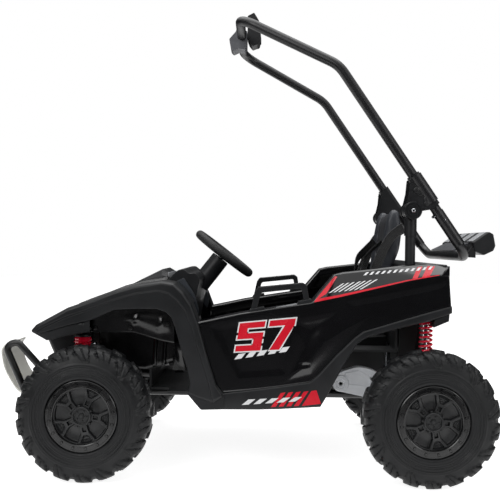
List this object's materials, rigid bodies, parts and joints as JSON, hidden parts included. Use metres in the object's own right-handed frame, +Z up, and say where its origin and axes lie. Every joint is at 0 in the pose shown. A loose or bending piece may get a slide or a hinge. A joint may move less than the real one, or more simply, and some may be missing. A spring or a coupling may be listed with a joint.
{
  "type": "child's electric ride-on dune buggy",
  "caption": "Child-size electric dune buggy with steered front wheels, open cabin, padded seat and a folding roll cage.",
  "frame": {"origin": "on the floor under the middle of the whole vehicle", "axes": "+Z up, -X towards the nose, -Y the vehicle's left side"},
  "size_m": [1.399, 0.84, 1.3051],
  "materials": {
    "gloss_black": "moulded, gloss",
    "matte_black": "moulded, fine grain",
    "black_paint": "powder coat, satin",
    "dark_gloss_rim": "moulded, semi-gloss",
    "tyre_black": "moulded rubber",
    "seat_leather": "padded, stitched",
    "webbing": "woven strap",
    "silver_skid": "satin silver",
    "cast_silver": "cast",
    "spring_red": "gloss",
    "grey_steel": "satin",
    "lamp_lens": "clear",
    "lamp_red": "clear red",
    "grip_black": "moulded grip",
    "bar_grey": "gloss"
  },
  "bodies": {
    "body": {"chassis_frame": "black_paint", "floor_tub": "matte_black", "side_panel_left": "gloss_black", "side_panel_right": "gloss_black", "shoulder_left": "matte_black", "shoulder_right": "matte_black", "sill_trim_left": "matte_black", "sill_trim_right": "matte_black", "front_fender_left": "matte_black", "front_fender_right": "matte_black", "hood": "gloss_black", "nose_panel": "matte_black", "front_liner": "gloss_black", "dashboard": "matte_black", "steering_column": "matte_black", "rear_deck": "matte_black", "rear_box": "matte_black", "seat_base": "matte_black", "seat_cushion": "seat_leather", "seat_back": "seat_leather", "harness_straps": "webbing", "grab_handle_left": "matte_black", "grab_handle_right": "matte_black", "bumper_hoops": "black_paint", "bumper_plate": "silver_skid", "headlights": "lamp_lens", "tail_lights": "lamp_red", "front_arms": "black_paint", "front_shocks": "spring_red", "rear_arms": "cast_silver", "rear_shocks": "spring_red", "rear_gearboxes": "black_paint", "battery": "black_paint", "accelerator_pedal": "matte_black", "cage_posts": "black_paint"},
    "cage": {"cage_loop": "black_paint", "cage_brackets": "black_paint", "cage_plate": "grey_steel", "cage_light_bar": "bar_grey", "cage_lamp_clamp": "matte_black", "cage_lamp": "matte_black"},
    "steering": {"steering_wheel": "grip_black", "steering_shaft": "black_paint"},
    "track_rod": {"track_rod": "black_paint"},
    "knuckle_left": {"knuckle_left": "black_paint"},
    "knuckle_right": {"knuckle_right": "black_paint"},
    "wheel_front_left": {"tyre_front_left": "tyre_black", "rim_front_left": "dark_gloss_rim"},
    "wheel_front_right": {"tyre_front_right": "tyre_black", "rim_front_right": "dark_gloss_rim"},
    "wheel_rear_left": {"tyre_rear_left": "tyre_black", "rim_rear_left": "dark_gloss_rim"},
    "wheel_rear_right": {"tyre_rear_right": "tyre_black", "rim_rear_right": "dark_gloss_rim"}
  },
  "joints": [
    {"name": "cage_fold", "type": "hinge", "parent": "body", "child": "cage", "pos_m": [0.45124, 0, 0.70959], "axis": [0, 1, 0], "range_deg": [-50, 8]},
    {"name": "steer", "type": "hinge", "parent": "body", "child": "steering", "pos_m": [-0.05798, 0, 0.58696], "axis": [-0.6089, 0, -0.7933], "range_deg": [-50, 50]},
    {"name": "knuckle_left_turn", "type": "hinge", "parent": "body", "child": "knuckle_left", "pos_m": [-0.394, -0.268, 0.175], "axis": [0, 0, 1], "range_deg": [-22, 22]},
    {"name": "knuckle_right_turn", "type": "hinge", "parent": "body", "child": "knuckle_right", "pos_m": [-0.394, 0.268, 0.175], "axis": [0, 0, 1], "range_deg": [-22, 22]},
    {"name": "track_rod_slide", "type": "slide", "parent": "body", "child": "track_rod", "axis": [0, 1, 0], "range_m": [-0.0225, 0.0225]},
    {"name": "wheel_front_left_spin", "type": "hinge", "parent": "knuckle_left", "child": "wheel_front_left", "pos_m": [-0.394, -0.36, 0.175], "axis": [0, 1, 0], "continuous": true},
    {"name": "wheel_front_right_spin", "type": "hinge", "parent": "knuckle_right", "child": "wheel_front_right", "pos_m": [-0.394, 0.36, 0.175], "axis": [0, 1, 0], "continuous": true},
    {"name": "wheel_rear_left_spin", "type": "hinge", "parent": "body", "child": "wheel_rear_left", "pos_m": [0.492, -0.36, 0.175], "axis": [0, 1, 0], "continuous": true},
    {"name": "wheel_rear_right_spin", "type": "hinge", "parent": "body", "child": "wheel_rear_right", "pos_m": [0.492, 0.36, 0.175], "axis": [0, 1, 0], "continuous": true}
  ],
  "couplings": [
    {"joint": "knuckle_left_turn", "follows": "steer", "ratio": -0.44},
    {"joint": "knuckle_right_turn", "follows": "steer", "ratio": -0.44},
    {"joint": "track_rod_slide", "follows": "steer", "m_per_rad": -0.025725}
  ]
}
